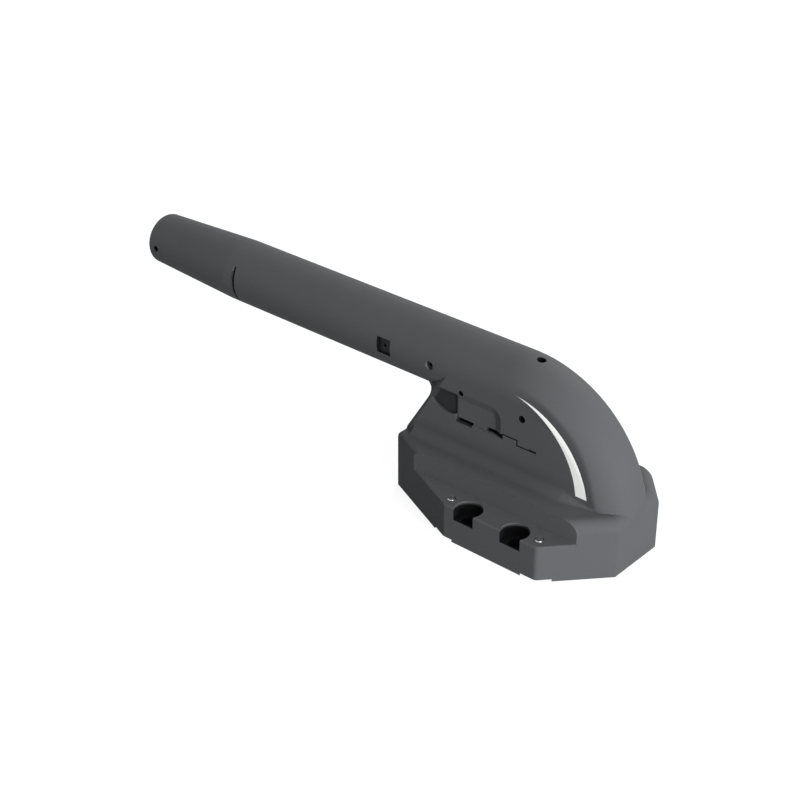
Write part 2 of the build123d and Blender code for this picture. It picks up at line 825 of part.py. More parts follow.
total_pressure_hose = hose(
    tube_axis_height, hose_bend_radius, total_tube_radius + running_clearance, hose_wall
)
total_pressure_hose.label = "total_pressure_hose"
export_step(total_pressure_hose, "parts/total_pressure_hose.step")

static_pressure_hose = hose(
    tube_axis_height + static_tube_rise,
    hose_bend_radius + static_tube_rise,
    static_tube_radius + running_clearance,
    hose_wall_static,
)
static_pressure_hose.label = "static_pressure_hose"
export_step(static_pressure_hose, "parts/static_pressure_hose.step")


def static_port(hand):
    """Square plate with the static hole, let into one side of the probe."""
    with BuildPart() as plate:
        with BuildSketch(Plane.XZ.offset(-hand * (tube_radius - plate_port_depth))):
            with Locations((-plate_port_ahead, tube_axis_height)):
                Rectangle(plate_port_size - 2 * running_clearance, plate_port_size - 2 * running_clearance)
                Circle(plate_port_hole, mode=Mode.SUBTRACT)
        extrude(amount=hand * plate_port_thickness)
    return plate.part


port_static_plate = static_port(-1)
port_static_plate.label = "port_static_plate"
export_step(port_static_plate, "parts/port_static_plate.step")

starboard_static_plate = static_port(1)
starboard_static_plate.label = "starboard_static_plate"
export_step(starboard_static_plate, "parts/starboard_static_plate.step")


# Set screws with a hexagon socket, one on each side
with BuildPart() as set_screws:
    for hand in (-1, 1):
        with BuildSketch(Plane.XZ.offset(hand * set_screw_tip)):
            with Locations((-set_screw_ahead, tube_axis_height)):
                Circle(set_screw_radius - running_clearance)
        extrude(amount=hand * set_screw_length)
        with BuildSketch(Plane.XZ.offset(hand * (set_screw_tip + set_screw_length))):
            with Locations((-set_screw_ahead, tube_axis_height)):
                RegularPolygon(set_screw_socket, 6)
        extrude(amount=-hand * set_screw_socket_depth, mode=Mode.SUBTRACT)

set_screws.part.label = "set_screws"
export_step(set_screws.part, "parts/set_screws.step")


def cross_pin(ahead, radius):
    """Dowel pin across the fin, sunk below the skin at both ends."""
    with BuildPart() as pin:
        with BuildSketch(Plane.XZ):
            with Locations((-ahead, pin_height)):
                Circle(radius - running_clearance)
        extrude(amount=tube_radius - pin_sink, both=True)
        chamfer(pin.edges().filter_by(GeomType.CIRCLE), length=pin_end_chamfer)
    return pin.part


plug_pin = cross_pin(plug_pin_ahead, plug_pin_radius)
plug_pin.label = "plug_pin"
export_step(plug_pin, "parts/plug_pin.step")

housing_pin = cross_pin(housing_pin_ahead, housing_pin_radius)
housing_pin.label = "housing_pin"
export_step(housing_pin, "parts/housing_pin.step")


# Circuit board, hung from four bosses
with BuildPart() as sensor_board:
    with BuildSketch(Plane.XY.offset(board_underside)):
        with Locations((-board_middle_ahead, 0)):
            RectangleRounded(board_length, board_width, board_corner_radius)
            with GridLocations(boss_span, boss_spread, 2, 2):
                Circle(board_screw_radius + screw_clearance, mode=Mode.SUBTRACT)
    extrude(amount=board_thickness)

sensor_board.part.label = "sensor_board"
export_step(sensor_board.part, "parts/sensor_board.step")

with BuildPart() as board_inserts:
    with BuildSketch(Plane.XY.offset(board_top)):
        with Locations((-board_middle_ahead, 0)):
            with GridLocations(boss_span, boss_spread, 2, 2):
                Circle(insert_radius - running_clearance)
                Circle(board_screw_radius + running_clearance, mode=Mode.SUBTRACT)
    extrude(amount=insert_height - running_clearance)

board_inserts.part.label = "board_inserts"
export_step(board_inserts.part, "parts/board_inserts.step")

with BuildPart() as board_screws:
    with Locations((-board_middle_ahead, 0, board_underside)):
        with GridLocations(boss_span, boss_spread, 2, 2):
            Cylinder(
                board_screw_head_radius,
                board_screw_head_height,
                align=(Align.CENTER, Align.CENTER, Align.MAX),
            )
            Cylinder(
                board_screw_radius,
                board_screw_length - board_screw_head_height,
                align=(Align.CENTER, Align.CENTER, Align.MIN),
            )

board_screws.part.label = "board_screws"
export_step(board_screws.part, "parts/board_screws.step")


# Differential pressure sensor with a barb for each hose
with BuildPart() as pressure_sensor:
    with BuildSketch(Plane.XY.offset(board_top)):
        with Locations((barb_middle_x, 0)):
            Rectangle(sensor_length, sensor_width)
    extrude(amount=sensor_height)
    fillet(pressure_sensor.edges().filter_by(Axis.Z), radius=sensor_edge_radius)
    with BuildSketch(Plane.XY.offset(board_top + sensor_height)):
        with Locations((total_barb_x, 0)):
            Circle(total_tube_radius)
            Circle(total_tube_bore, mode=Mode.SUBTRACT)
        with Locations((static_barb_x, 0)):
            Circle(static_tube_radius)
            Circle(static_tube_bore, mode=Mode.SUBTRACT)
    extrude(amount=barb_top - board_top - sensor_height)

pressure_sensor.part.label = "pressure_sensor"
export_step(pressure_sensor.part, "parts/pressure_sensor.step")


def board_chip(ahead, length, width, height, above):
    """Square-edged package standing on the board, or hanging below it."""
    with BuildPart() as chip:
        with BuildSketch(Plane.XY.offset(board_top if above else board_underside)):
            with Locations((-ahead, 0)):
                Rectangle(length, width)
        extrude(amount=height if above else -height)
    return chip.part


barometer = board_chip(barometer_ahead, barometer_size, barometer_size, barometer_height, False)
barometer.label = "barometer"
export_step(barometer, "parts/barometer.step")

processor = board_chip(processor_ahead, processor_size, processor_size, processor_height, True)
processor.label = "processor"
export_step(processor, "parts/processor.step")

voltage_regulator = board_chip(
    regulator_ahead, regulator_length, regulator_width, regulator_height, False
)
voltage_regulator.label = "voltage_regulator"
export_step(voltage_regulator, "parts/voltage_regulator.step")

with BuildPart() as board_capacitors:
    with BuildSketch(Plane.XY.offset(board_top)):
        with Locations((-capacitor_ahead, 0)):
            with GridLocations(capacitor_length, capacitor_pitch, 1, capacitor_count):
                Rectangle(capacitor_length, capacitor_width)
    extrude(amount=capacitor_width)

board_capacitors.part.label = "board_capacitors"
export_step(board_capacitors.part, "parts/board_capacitors.step")


# Plug socket under the board, over the window in the base plate
with BuildPart() as data_connector:
    with BuildSketch(Plane.XY.offset(board_underside)):
        with Locations((-board_middle_ahead, 0)):
            Rectangle(connector_length, connector_width)
    extrude(amount=-connector_height)
    with BuildSketch(Plane.XY.offset(board_underside - connector_floor)):
        with Locations((-board_middle_ahead, 0)):
            Rectangle(connector_length - 2 * connector_wall, connector_width - 2 * connector_wall)
    extrude(amount=-connector_height, mode=Mode.SUBTRACT)
    with BuildSketch(Plane.XY.offset(board_underside)):
        with Locations((-board_middle_ahead, 0)):
            with GridLocations(contact_pitch, 0, contact_count, 1):
                Rectangle(contact_size + 2 * running_clearance, contact_size + 2 * running_clearance)
    extrude(amount=-connector_height, mode=Mode.SUBTRACT)

data_connector.part.label = "data_connector"
export_step(data_connector.part, "parts/data_connector.step")

with BuildPart() as connector_contacts:
    with BuildSketch(Plane.XY.offset(board_underside)):
        with Locations((-board_middle_ahead, 0)):
            with GridLocations(contact_pitch, 0, contact_count, 1):
                Rectangle(contact_size, contact_size)
    extrude(amount=-contact_length)

connector_contacts.part.label = "connector_contacts"
export_step(connector_contacts.part, "parts/connector_contacts.step")
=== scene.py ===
import math

import bmesh
import bpy
from bpy.props import FloatProperty, FloatVectorProperty, PointerProperty
from bpy.types import Operator, Panel, PropertyGroup
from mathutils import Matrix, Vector

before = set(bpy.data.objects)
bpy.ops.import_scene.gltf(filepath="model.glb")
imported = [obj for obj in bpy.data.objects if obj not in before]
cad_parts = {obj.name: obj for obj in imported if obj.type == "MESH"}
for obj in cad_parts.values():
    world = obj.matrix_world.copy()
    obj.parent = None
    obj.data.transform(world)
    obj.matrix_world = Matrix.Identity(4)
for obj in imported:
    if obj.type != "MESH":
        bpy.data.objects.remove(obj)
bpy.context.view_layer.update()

bl_info = {
    "name": "Airspeed head finishes",
    "version": (1, 0, 0),
    "blender": (4, 5, 0),
    "location": "View3D > Sidebar > Airspeed head",
    "description": "Finishes for the solids of an aircraft airspeed head, with its stage",
    "category": "Object",
}

# The crescent stripe on the port side of the elbow lies between two circles in the X Z plane
STRIPE_OUTER_CENTRE = (-0.00570, 0.01181)
STRIPE_OUTER_RADIUS = 0.02350
STRIPE_INNER_CENTRE = (-0.00777, 0.01340)
STRIPE_INNER_RADIUS = 0.02230
STRIPE_FOOT = 0.0164
STRIPE_EDGE = 0.00006

# The skin of the probe, the elbow and the fin, from which the depth of a recess is told; recesses deeper than
# DEEP get painted shade
SKIN_RADIUS = 0.0080
BEND_CENTRE = (-0.007265, 0.0077)
BEND_RADIUS = 0.0261
DEEP = (0.00065, 0.0012)

# Where that skin holds: behind the sloping leading edge or beside the axis of the tube, not on the nose's
# taper and not on the block
FIN_FOOT_FRONT = (-0.03575, 0.0145)
FIN_SLOPE = math.radians(32.0)
LEADING_EDGE = (0.0014, 0.0019)
TUBE_FLANK = (-0.0023, -0.0020)
TAPER_START = (-0.0965, -0.0960)
BLOCK_TOP = (0.0149, 0.0152)

# Round holes across the fin and the tube, as x, z and radius, and the vent on top, as x, y and radius; all
# get painted shade inside
CROSS_HOLES = (
    (-0.0012, 0.0300, 0.00085),
    (-0.0188, 0.0300, 0.00065),
    (-0.12385, 0.0338, 0.0008),
)
TOP_VENT = (-0.00235, 0.0, 0.00105)
TOP_VENT_FOOT = (0.0385, 0.0387)

# Clip slots, the stepped hairline of the parting line, the seats of the static plates and the vent slots at
# the nose: x range, z range and how much of the painted shade each takes
SKIN_GAPS = (
    (-0.02000, -0.01540, 0.02225, 0.02325, 0.75),
    (-0.01130, -0.00670, 0.02290, 0.02390, 0.80),
    (-0.00674, -0.00221, 0.02391, 0.02419, 0.90),
    (-0.00674, -0.00646, 0.02275, 0.02405, 0.90),
    (-0.00249, -0.00221, 0.02275, 0.02405, 0.90),
    (-0.00249, 0.00310, 0.02261, 0.02289, 0.90),
    (0.00100, 0.00310, 0.02275, 0.02320, 0.80),
    (-0.04465, -0.04055, 0.03175, 0.03585, 1.00),
    (-0.09425, -0.09305, 0.02880, 0.03690, 0.50),
)
GAP_EDGE = 0.00005

# The relief below the tube, which gets painted shade, and the throat above it, which gets painted light, as x
# and z ranges, the depths at which each begins and how much painted shade it takes (below zero for painted
# light); both fade out towards the leading edge
RELIEF = (-0.0310, -0.01995, 0.0222, 0.0289)
RELIEF_DEPTH = (0.00004, 0.00015)
RELIEF_SHADE = 0.45
THROAT = (-0.0310, -0.0225, 0.0289, 0.0332)
THROAT_DEPTH = (0.0002, 0.0005)
THROAT_PAINTED_LIGHT = -0.20
FRONT_FADE = (-0.0305, -0.0262)

# The edge where the flat side of the elbow turns round: its reach beyond the tube's axis grows with height.
# It gets painted shade just before the edge and a painted highlight just past it.
TURN_HEIGHTS = (0.0173, 0.0290)
TURN_REACH = 0.0020
TURN_SPREAD = 0.00165
TURN_SHADE = 0.30
TURN_PAINTED_HIGHLIGHT = -0.10
TURN_SIDE = (-0.0005, 0.0010)
TURN_START = (-0.004, 0.004)
TURN_FOOT = (0.0145, 0.0155)
TURN_BEFORE = 0.0007
TURN_PAST = (-0.0002, 0.0003)
TURN_FADE = 0.0030

# The line where the fin stands on the block, as y and z, and the shade along it, which ends to the rear
CREASE = (0.0080, 0.0145)
CREASE_REACH = (0.0055, 0.0011)
CREASE_SIDE = (0.0068, 0.0076)
CREASE_SHADE = 0.26
CREASE_END = (0.0140, 0.0030)

# The counterbores in the flanges and the holes below them, which get painted shade inside: the same in all
# four corners
POCKET_CENTRE = (0.00665, 0.0194)
POCKET_WALL = (0.00345, 0.00341)
POCKET_FLOOR = (0.00625, 0.00630)
POCKET_RIM = (0.00930, 0.00845)
BOLT_HOLE_WALL = (0.00175, 0.00172)
BOLT_HOLE_TOP = (0.00635, 0.00625)

# Finishes
CLOUD_SCALE = 90.0
PLASTIC_MOTTLE = 0.10
PLASTIC_GLOSS = 0.025
FINE_RELIEF = 0.00001
COARSE_RELIEF = 0.00003

# Stage: the lamps face one point, and each has a place, a size and a setting with its power
LAMP_TARGET = (-0.03, 0.0, 0.02)
LAMPS = (
    ("key lamp", (0.92, -0.335, 0.16), 0.25, "key_power"),
    ("high lamp", (0.75, -0.20, 0.60), 0.40, "high_power"),
    ("rim lamp", (-0.25, 0.95, 0.60), 0.70, "rim_power"),
)
FLOOR_RADIUS = 6.0
FLOOR_SEGMENTS = 96
FLOOR_GRAIN = 200.0
FLOOR_MOTTLE = 0.01
CAMERA_PLACE = (0.192893, -0.269701, 0.221520)
CAMERA_BACK = (0.5727, -0.6511, 0.4981)
SENSOR_WIDTH = 36.0
NEAR_CLIP = 0.01

# Sockets of a Mix node that blends colours
MIX_FIRST, MIX_SECOND, MIX_RESULT = 6, 7, 2


class HousingFinish(PropertyGroup):
    """Looks of the moulded housings"""

    colour: FloatVectorProperty(
        name="Plastic colour",
        description="Colour of the moulded housings",
        subtype="COLOR",
        size=3,
        min=0.0,
        max=1.0,
        default=(0.0790, 0.0822, 0.0866),
    )
    stripe_colour: FloatVectorProperty(
        name="Stripe colour",
        description="Colour of the printed crescent on the elbow",
        subtype="COLOR",
        size=3,
        min=0.0,
        max=1.0,
        default=(0.86, 0.86, 0.85),
    )
    # Strength of all the painted shade and painted light on the housings
    painted_recess_shade: FloatProperty(
        name="Recess darkness",
        description="How dark the holes, slots and counterbores are inside",
        subtype="FACTOR",
        min=0.0,
        max=1.0,
        default=0.93,
    )
    roughness: FloatProperty(
        name="Roughness",
        description="How dull the moulded plastic is",
        subtype="FACTOR",
        min=0.0,
        max=1.0,
        default=0.62,
    )
    grain_size: FloatProperty(
        name="Grain size",
        description="Width of the fine grain left by the mould",
        subtype="DISTANCE",
        unit="LENGTH",
        min=0.00005,
        max=0.002,
        default=0.0003,
    )
    grain_height: FloatProperty(
        name="Grain height",
        description="Height of the fine grain",
        subtype="DISTANCE",
        unit="LENGTH",
        min=0.0,
        max=0.0005,
        default=0.00003,
    )


class StageSettings(PropertyGroup):
    """Lamps, sky, floor and lens"""

    key_power: FloatProperty(
        name="Key lamp",
        description="Power of the low lamp behind the object, on its port side",
        subtype="POWER",
        min=0.0,
        default=11.8,
    )
    high_power: FloatProperty(
        name="High lamp",
        description="Power of the lamp above and behind the object",
        subtype="POWER",
        min=0.0,
        default=5.2,
    )
    rim_power: FloatProperty(
        name="Rim lamp",
        description="Power of the lamp on the starboard side",
        subtype="POWER",
        min=0.0,
        default=10.5,
    )
    sky: FloatProperty(
        name="Sky level",
        description="Even light from all round",
        subtype="FACTOR",
        min=0.0,
        max=1.0,
        default=0.41,
    )
    floor_colour: FloatVectorProperty(
        name="Floor colour",
        description="Colour of the floor, as the light that it throws back",
        subtype="COLOR",
        size=3,
        min=0.0,
        max=1.0,
        default=(0.20, 0.20, 0.20),
    )
    floor_white: FloatProperty(
        name="Floor white",
        description="What the floor adds to its own light, to show pale",
        subtype="FACTOR",
        min=0.0,
        max=1.0,
        default=0.86,
    )
    lens_length: FloatProperty(
        name="Lens length",
        description="Focal length of the camera on a 36 mm sensor",
        subtype="DISTANCE_CAMERA",
        min=10.0,
        max=300.0,
        default=76.316,
    )


def add_node(tree, kind, inputs=None, **settings):
    """New node in a tree, with its settings and the values or links of its inputs."""
    node = tree.nodes.new(kind)
    for key, value in settings.items():
        setattr(node, key, value)
    for key, value in (inputs or {}).items():
        if isinstance(value, bpy.types.NodeSocket):
            tree.links.new(value, node.inputs[key])
        else:
            node.inputs[key].default_value = value
    return node


def combine(tree, operation, *values):
    """Values or links joined by one kind of sum, from the first to the last."""
    result = values[0]
    for value in values[1:]:
        result = add_node(tree, "ShaderNodeMath", {0: result, 1: value}, operation=operation).outputs[0]
    return result


def ramp(tree, value, start, end):
    """Zero at the start value, one at the end value, straight between them."""
    limits = {"Value": value, "From Min": start, "From Max": end}
    return add_node(tree, "ShaderNodeMapRange", limits, clamp=True).outputs["Result"]


def distance_from(tree, first, second, centre):
    """How far two coordinates are from a centre."""
    across = combine(tree, "SUBTRACT", first, centre[0])
    up = combine(tree, "SUBTRACT", second, centre[1])
    square = combine(
        tree, "ADD", combine(tree, "MULTIPLY", across, across), combine(tree, "MULTIPLY", up, up)
    )
    return add_node(tree, "ShaderNodeMath", {0: square}, operation="SQRT").outputs[0]


def window(tree, across, up, area):
    """One inside a rectangle and zero outside it, with a thin soft edge."""
    left, right, bottom, top = area
    return combine(
        tree,
        "MULTIPLY",
        ramp(tree, across, left - GAP_EDGE, left),
        ramp(tree, across, right + GAP_EDGE, right),
        ramp(tree, up, bottom - GAP_EDGE, bottom),
        ramp(tree, up, top + GAP_EDGE, top),
    )


def disc(tree, across, up, place):
    """One inside a circle, given by its two coordinates and its radius, and zero outside it."""
    *centre, radius = place
    distance = distance_from(tree, across, up, centre)
    return ramp(tree, distance, radius + GAP_EDGE, radius + GAP_EDGE / 2)


def new_group(name, inputs, outputs):
    """Empty shader node group with named sockets, and its two end nodes."""
    group = bpy.data.node_groups.new(name, "ShaderNodeTree")
    for label, kind in inputs:
        group.interface.new_socket(label, in_out="INPUT", socket_type=kind)
    for label, kind in outputs:
        group.interface.new_socket(label, in_out="OUTPUT", socket_type=kind)
    return group, group.nodes.new("NodeGroupInput"), group.nodes.new("NodeGroupOutput")


def axes_of(group, ends):
    """The three parts of a group's coordinates."""
    return add_node(group, "ShaderNodeSeparateXYZ", {0: ends.outputs["Coordinates"]}).outputs


def tone_about_one(group, value, strength):
    """A value that varies about zero, made into a tone that varies about one."""
    return combine(group, "ADD", combine(group, "MULTIPLY", value, strength), 1.0)


def moulded_grain():
    """Group: uneven tone and fine grain of a moulded surface."""
    name = "Moulded grain"
    if name in bpy.data.node_groups:
        return bpy.data.node_groups[name]
    group, ends, out = new_group(
        name,
        [
            ("Coordinates", "NodeSocketVector"),
            ("Fineness", "NodeSocketFloat"),
            ("Mottle", "NodeSocketFloat"),
        ],
        [("Tone", "NodeSocketFloat"), ("Height", "NodeSocketFloat")],
    )
    place = ends.outputs["Coordinates"]
    grain = {"Vector": place, "Scale": ends.outputs["Fineness"], "Detail": 3.0}
    fine = add_node(group, "ShaderNodeTexNoise", grain).outputs["Fac"]
    patches = {"Vector": place, "Scale": CLOUD_SCALE, "Detail": 2.0}
    cloud = add_node(group, "ShaderNodeTexNoise", patches).outputs["Fac"]
    uneven = combine(group, "SUBTRACT", combine(group, "ADD", fine, cloud), 1.0)
    group.links.new(tone_about_one(group, uneven, ends.outputs["Mottle"]), out.inputs["Tone"])
    group.links.new(fine, out.inputs["Height"])
    return group


def turned_metal():
    """Group: tool marks that run round a turned or drawn piece."""
    name = "Turned metal"
    if name in bpy.data.node_groups:
        return bpy.data.node_groups[name]
    group, ends, out = new_group(
        name,
        [
            ("Coordinates", "NodeSocketVector"),
            ("Marks", "NodeSocketVector"),
            ("Depth", "NodeSocketFloat"),
        ],
        [("Tone", "NodeSocketFloat"), ("Height", "NodeSocketFloat")],
    )
    stretch = {0: ends.outputs["Coordinates"], 1: ends.outputs["Marks"]}
    place = add_node(group, "ShaderNodeVectorMath", stretch, operation="MULTIPLY").outputs["Vector"]
    marks = {"Vector": place, "Scale": 1.0, "Detail": 4.0}
    lines = add_node(group, "ShaderNodeTexNoise", marks).outputs["Fac"]
    uneven = combine(group, "SUBTRACT", lines, 0.5)
    group.links.new(tone_about_one(group, uneven, ends.outputs["Depth"]), out.inputs["Tone"])
    group.links.new(lines, out.inputs["Height"])
    return group


def crescent_mask():
    """Group: the crescent stripe, from the part's own coordinates."""
    name = "Crescent stripe"
    if name in bpy.data.node_groups:
        return bpy.data.node_groups[name]
    group, ends, out = new_group(
        name, [("Coordinates", "NodeSocketVector")], [("Mask", "NodeSocketFloat")]
    )
    x, y, z = axes_of(group, ends)
    outer = distance_from(group, x, z, STRIPE_OUTER_CENTRE)
    inner = distance_from(group, x, z, STRIPE_INNER_CENTRE)
    mask = combine(
        group,
        "MULTIPLY",
        ramp(group, outer, STRIPE_OUTER_RADIUS + STRIPE_EDGE, STRIPE_OUTER_RADIUS - STRIPE_EDGE),
        ramp(group, inner, STRIPE_INNER_RADIUS - STRIPE_EDGE, STRIPE_INNER_RADIUS + STRIPE_EDGE),
        ramp(group, z, STRIPE_FOOT - STRIPE_EDGE, STRIPE_FOOT + STRIPE_EDGE),
        ramp(group, y, STRIPE_EDGE, -STRIPE_EDGE),
    )
    group.links.new(mask, out.inputs["Mask"])
    return group


def skin_depth(group, x, y, z):
    """Depth below the skin, and the reach beyond the axis of the tube, whose line bends down at the elbow."""
    behind_bend = combine(group, "MAXIMUM", x, BEND_CENTRE[0])
    swing = distance_from(group, behind_bend, z, BEND_CENTRE)
    reach = combine(group, "SUBTRACT", swing, BEND_RADIUS)
    side = distance_from(group, combine(group, "MAXIMUM", reach, 0.0), y, (0.0, 0.0))
    return combine(group, "SUBTRACT", SKIN_RADIUS, side), reach


def skin_area(group, x, z, reach):
    """One where the depth below the skin tells a recess from the outside."""
    lean = combine(
        group, "MULTIPLY", combine(group, "SUBTRACT", z, FIN_FOOT_FRONT[1]), math.tan(FIN_SLOPE)
    )
    behind_edge = combine(group, "SUBTRACT", x, FIN_FOOT_FRONT[0], lean)
    on_fin = ramp(group, behind_edge, *LEADING_EDGE)
    on_tube = ramp(group, reach, *TUBE_FLANK)
    return combine(
        group,
        "MULTIPLY",
        combine(group, "MAXIMUM", on_fin, on_tube),
        ramp(group, x, *TAPER_START),
        ramp(group, z, *BLOCK_TOP),
    )


def skin_openings(group, x, y, z, depth, reach):
    """Painted shade inside the holes, slots and gaps of the skin."""
    deep = combine(group, "MULTIPLY", ramp(group, depth, *DEEP), skin_area(group, x, z, reach))
    vent = combine(group, "MULTIPLY", disc(group, x, y, TOP_VENT), ramp(group, z, *TOP_VENT_FOOT))
    crossed = [disc(group, x, z, hole) for hole in CROSS_HOLES]
    gaps = [
        combine(group, "MULTIPLY", window(group, x, z, area), darkness) for *area, darkness in SKIN_GAPS
    ]
    return combine(group, "MAXIMUM", deep, vent, *crossed, *gaps)


def flange_openings(group, x, y, z):
    """Painted shade inside the counterbores of the flanges and the bolt holes below them."""
    from_bolt = distance_from(group, x, y, POCKET_CENTRE)
    pocket = combine(
        group,
        "MULTIPLY",
        ramp(group, from_bolt, *POCKET_WALL),
        ramp(group, z, *POCKET_FLOOR),
        ramp(group, z, *POCKET_RIM),
    )
    bore = combine(
        group, "MULTIPLY", ramp(group, from_bolt, *BOLT_HOLE_WALL), ramp(group, z, *BOLT_HOLE_TOP)
    )
    return combine(group, "MAXIMUM", pocket, bore)


def relief_shade(group, x, z, depth):
    """Painted shade on the relief below the tube, and painted light on the throat above it."""
    fade = ramp(group, x, *FRONT_FADE)
    relief = combine(
        group,
        "MULTIPLY",
        window(group, x, z, RELIEF),
        ramp(group, depth, *RELIEF_DEPTH),
        fade,
        RELIEF_SHADE,
    )
    throat = combine(
        group,
        "MULTIPLY",
        window(group, x, z, THROAT),
        ramp(group, depth, *THROAT_DEPTH),
        fade,
        THROAT_PAINTED_LIGHT,
    )
    return relief, throat


def turn_shade(group, x, z, reach):
    """Painted shade just before the edge where the flat side of the elbow turns round, and a painted
    highlight just past it.
    """
    spread = combine(group, "MULTIPLY", ramp(group, z, *TURN_HEIGHTS), TURN_SPREAD)
    beyond = combine(group, "SUBTRACT", reach, combine(group, "ADD", spread, TURN_REACH))
    before = combine(
        group,
        "MULTIPLY",
        ramp(group, beyond, 0.0, -TURN_BEFORE),
        ramp(group, reach, *TURN_SIDE),
        TURN_SHADE,
    )
    past = combine(
        group,
        "MULTIPLY",
        ramp(group, beyond, *TURN_PAST),
        ramp(group, beyond, TURN_FADE, 0.0),
        TURN_PAINTED_HIGHLIGHT,
    )
    return combine(
        group,
        "MULTIPLY",
        combine(group, "ADD", before, past),
        ramp(group, x, *TURN_START),
        ramp(group, z, *TURN_FOOT),
    )


def crease_shade(group, x, out_y, z):
    """Shade along the foot of the fin."""
    return combine(
        group,
        "MULTIPLY",
        ramp(group, distance_from(group, out_y, z, CREASE), *CREASE_REACH),
        ramp(group, out_y, *CREASE_SIDE),
        ramp(group, x, *CREASE_END),
        CREASE_SHADE,
    )


def recess_shade():
    """Group: painted shade inside the openings and the recesses of the housings, with painted light at the
    throat and past the elbow's turn, from the part's own coordinates.
    """
    name = "Recess shade"
    if name in bpy.data.node_groups:
        return bpy.data.node_groups[name]
    group, ends, out = new_group(
        name,
        [("Coordinates", "NodeSocketVector"), ("Darkness", "NodeSocketFloat")],
        [("Shade", "NodeSocketFloat")],
    )
    x, y, z = axes_of(group, ends)
    out_x = add_node(group, "ShaderNodeMath", {0: x}, operation="ABSOLUTE").outputs[0]
    out_y = add_node(group, "ShaderNodeMath", {0: y}, operation="ABSOLUTE").outputs[0]
    depth, reach = skin_depth(group, x, y, z)
    openings = combine(
        group,
        "MAXIMUM",
        skin_openings(group, x, y, z, depth, reach),
        flange_openings(group, out_x, out_y, z),
    )
    relief, throat = relief_shade(group, x, z, depth)
    soft = combine(group, "MAXIMUM", relief, crease_shade(group, x, out_y, z))
    soft = combine(group, "ADD", soft, throat, turn_shade(group, x, z, reach))
    closed = combine(group, "SUBTRACT", 1.0, openings)
    inside = combine(group, "ADD", openings, combine(group, "MULTIPLY", soft, closed))
    loss = combine(group, "MULTIPLY", inside, ends.outputs["Darkness"])
    group.links.new(combine(group, "SUBTRACT", 1.0, loss), out.inputs["Shade"])
    return group


def new_material(name):
    """Node material with only a Principled shader and its output, and the object's coordinates."""
    material = bpy.data.materials.new(name)
    material.use_nodes = True
    tree = material.node_tree
    tree.nodes.clear()
    shader = tree.nodes.new("ShaderNodeBsdfPrincipled")
    output = tree.nodes.new("ShaderNodeOutputMaterial")
    tree.links.new(shader.outputs["BSDF"], output.inputs["Surface"])
    place = tree.nodes.new("ShaderNodeTexCoord").outputs["Object"]
    return material, tree, shader, place


def tinted(tree, colour, tone):
    """A colour made lighter and darker by a tone."""
    node = add_node(tree, "ShaderNodeVectorMath", {0: colour, 1: tone}, operation="MULTIPLY")
    return node.outputs["Vector"]


def roughen(tree, shader, pattern, roughness, height):
    """Roughness and relief of a shader, from the tone and height of a pattern."""
    rough = combine(tree, "MULTIPLY", pattern.outputs["Tone"], roughness)
    tree.links.new(rough, shader.inputs["Roughness"])
    relief = {"Height": pattern.outputs["Height"], "Distance": height, "Strength": 1.0}
    normal = add_node(tree, "ShaderNodeBump", relief).outputs["Normal"]
    tree.links.new(normal, shader.inputs["Normal"])


def moulded(name, colour, roughness, fineness, mottle, height=FINE_RELIEF):
    """Material of a moulded piece: plastic, rubber, lacquer or ceramic."""
    material, tree, shader, place = new_material(name)
    values = {"Coordinates": place, "Fineness": fineness, "Mottle": mottle}
    grain = add_node(tree, "ShaderNodeGroup", values, node_tree=moulded_grain())
    tree.links.new(tinted(tree, colour, grain.outputs["Tone"]), shader.inputs["Base Color"])
    roughen(tree, shader, grain, roughness, height)
    return material


def machined(name, colour, roughness, marks, depth):
    """Material of a machined or drawn metal piece, with as many tool marks a metre along each axis."""
    material, tree, shader, place = new_material(name)
    values = {"Coordinates": place, "Marks": marks, "Depth": depth}
    tool = add_node(tree, "ShaderNodeGroup", values, node_tree=turned_metal())
    tree.links.new(tinted(tree, colour, tool.outputs["Tone"]), shader.inputs["Base Color"])
    shader.inputs["Metallic"].default_value = 1.0
    roughen(tree, shader, tool, roughness, FINE_RELIEF)
    return material


def housing_plastic(settings):
    """Dull dark plastic of both housings, with the printed crescent, and painted shade and painted light from
    the recess group.
    """
    material, tree, shader, place = new_material("Housing plastic")
    values = {"Coordinates": place, "Fineness": 1.0 / settings.grain_size, "Mottle": PLASTIC_MOTTLE}
    grain = add_node(tree, "ShaderNodeGroup", values, node_tree=moulded_grain())
    stripe = add_node(tree, "ShaderNodeGroup", {"Coordinates": place}, node_tree=crescent_mask())
    values = {"Coordinates": place, "Darkness": settings.painted_recess_shade}
    recess = add_node(tree, "ShaderNodeGroup", values, node_tree=recess_shade())
    shade = combine(tree, "MULTIPLY", grain.outputs["Tone"], recess.outputs["Shade"])
    colours = {
        "Factor": stripe.outputs["Mask"],
        MIX_FIRST: tinted(tree, settings.colour, shade),
        MIX_SECOND: (*settings.stripe_colour, 1.0),
    }
    mix = add_node(tree, "ShaderNodeMix", colours, data_type="RGBA")
    tree.links.new(mix.outputs[MIX_RESULT], shader.inputs["Base Color"])
    shader.inputs["Specular IOR Level"].default_value = PLASTIC_GLOSS
    roughen(tree, shader, grain, settings.roughness, settings.grain_height)
    return material


def dress(material, *names):
    """Gives CAD nodes their finish."""
    for name in names:
        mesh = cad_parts[name]
        if not mesh.material_slots:
            mesh.data.materials.append(material)
        for slot in mesh.material_slots:
            slot.link = "OBJECT"
            slot.material = material


class AIRSPEED_OT_housings(Operator):
    """Finish the two moulded housings"""

    bl_idname = "airspeed.housings"
    bl_label = "Housings"

    def execute(self, context):
        material = housing_plastic(context.scene.airspeed_housing)
        dress(material, "upper_housing", "lower_housing")
        return {"FINISHED"}


